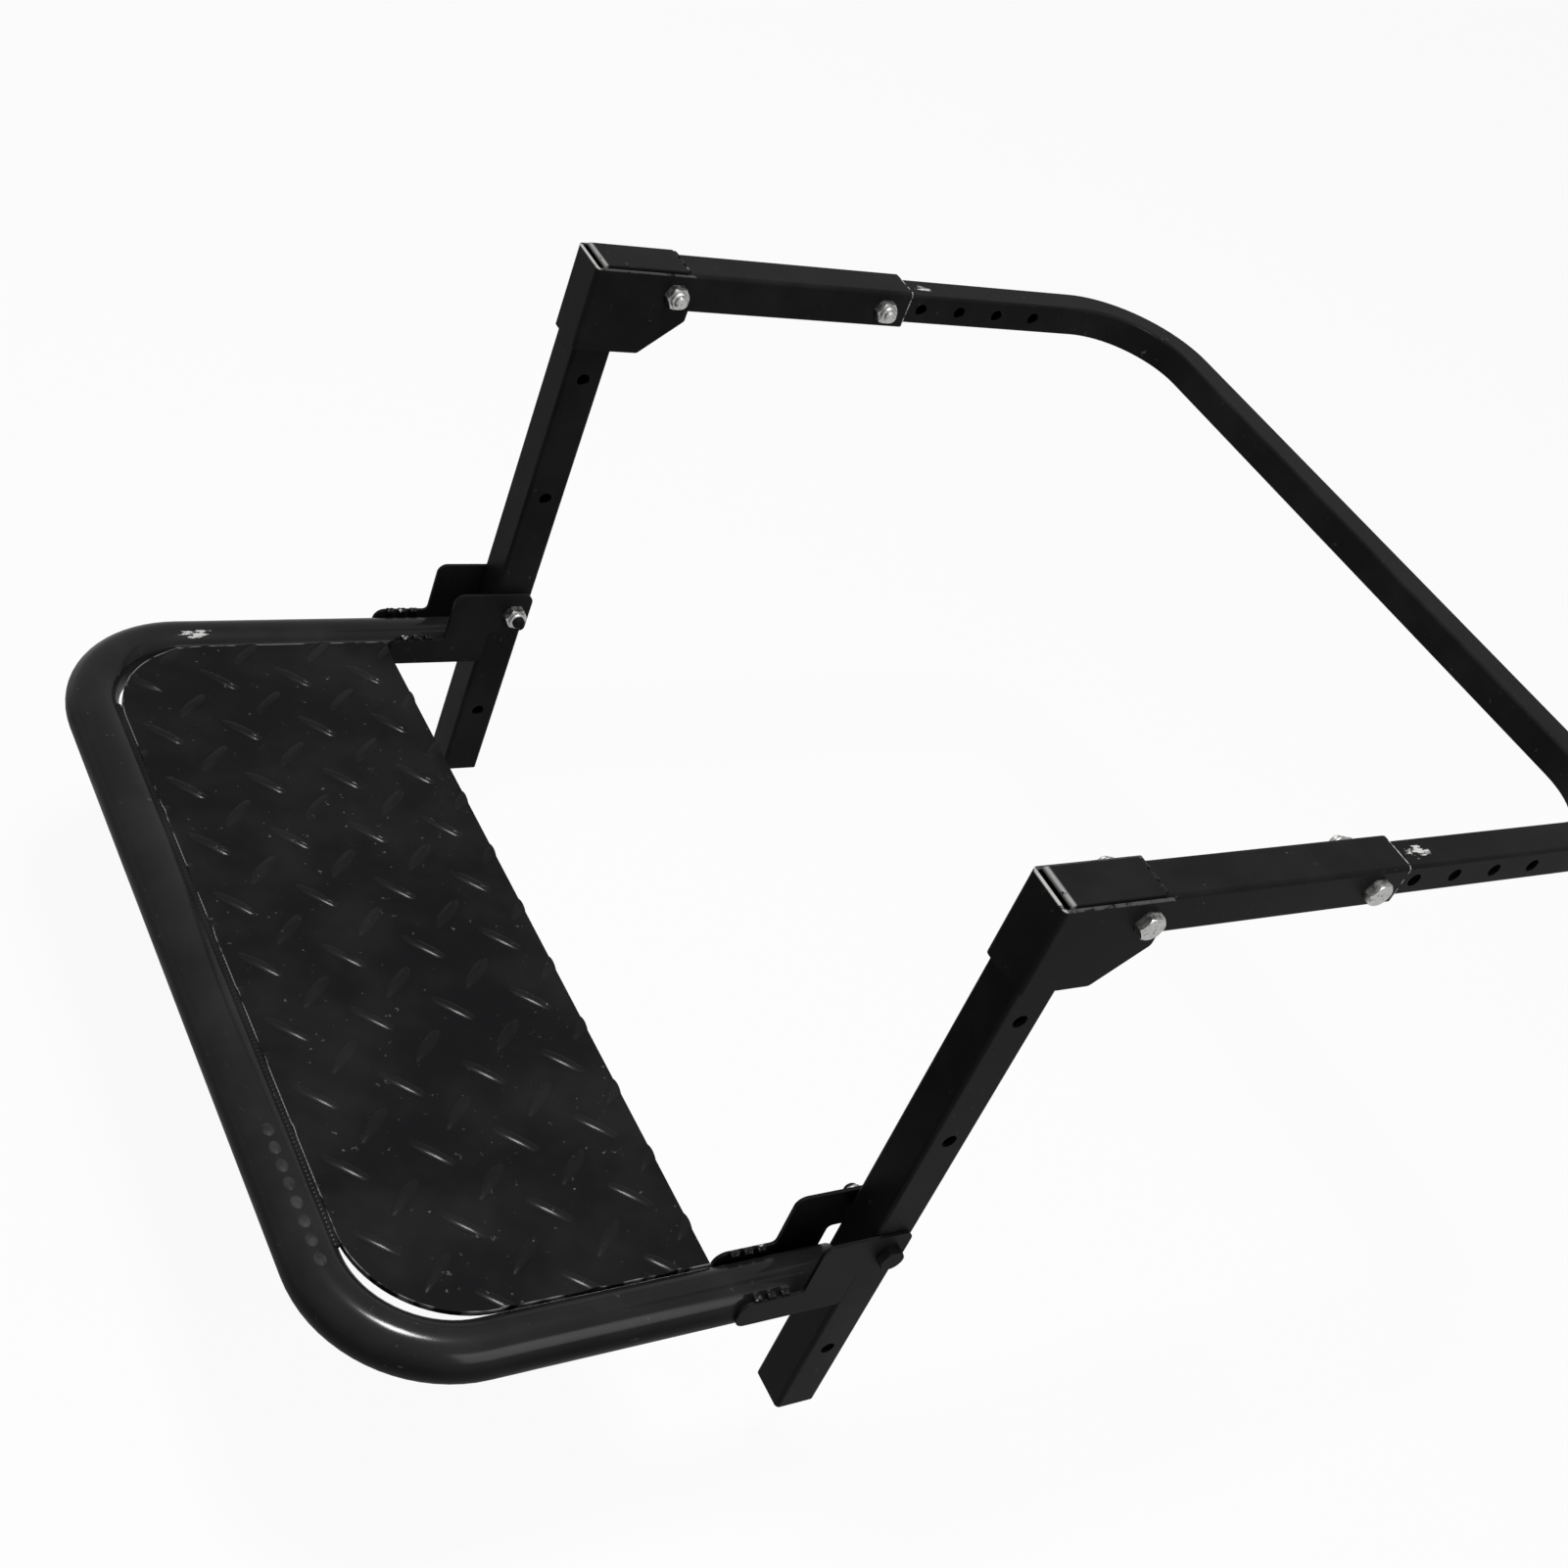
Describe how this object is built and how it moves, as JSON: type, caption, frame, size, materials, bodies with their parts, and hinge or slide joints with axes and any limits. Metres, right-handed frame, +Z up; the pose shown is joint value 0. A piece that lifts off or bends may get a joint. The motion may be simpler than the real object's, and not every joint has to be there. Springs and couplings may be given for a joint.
{
  "type": "folding tire step",
  "caption": "Folding step that hangs on a vehicle's tyre: square-tube arms lie across the tread, a hooked bar slides out behind it, and legs carry a checker-plate platform.",
  "frame": {"origin": "the corner that the tyre sits in: level with the undersides of the arms, on the plane of the legs' inboard faces, midway between the two sides", "axes": "+X towards the vehicle, along the arms; +Y to the left side, along the pivots; +Z up, along the legs"},
  "size_m": [0.7167, 0.5624, 0.3883],
  "materials": {
    "frame": "satin black powder coat",
    "tread": "satin black powder coat",
    "zinc": "bright zinc plating"
  },
  "bodies": {
    "legs": {"left_leg": "frame", "right_leg": "frame", "left_corner_bracket": "frame", "right_corner_bracket": "frame", "arm_pivot_bolts": "zinc", "arm_pivot_nuts": "zinc", "step_pivot_bolts": "frame", "step_pivot_nuts": "zinc"},
    "arms": {"left_sleeve": "frame", "right_sleeve": "frame", "left_top_plate": "frame", "right_top_plate": "frame", "hook_bar": "frame", "lock_bolts": "zinc", "lock_nuts": "zinc"},
    "step": {"step_frame": "frame", "tread_plate": "tread", "left_outer_ear": "frame", "left_inner_ear": "frame", "right_outer_ear": "frame", "right_inner_ear": "frame"}
  },
  "joints": [
    {"name": "arm_fold", "type": "hinge", "parent": "legs", "child": "arms", "pos_m": [0.0285, 0, 0.0125], "axis": [0, 1, 0], "range_deg": [0, 90]},
    {"name": "step_fold", "type": "hinge", "parent": "legs", "child": "step", "pos_m": [-0.0125, 0, -0.2228], "axis": [0, 1, 0], "range_deg": [0, 90]}
  ]
}
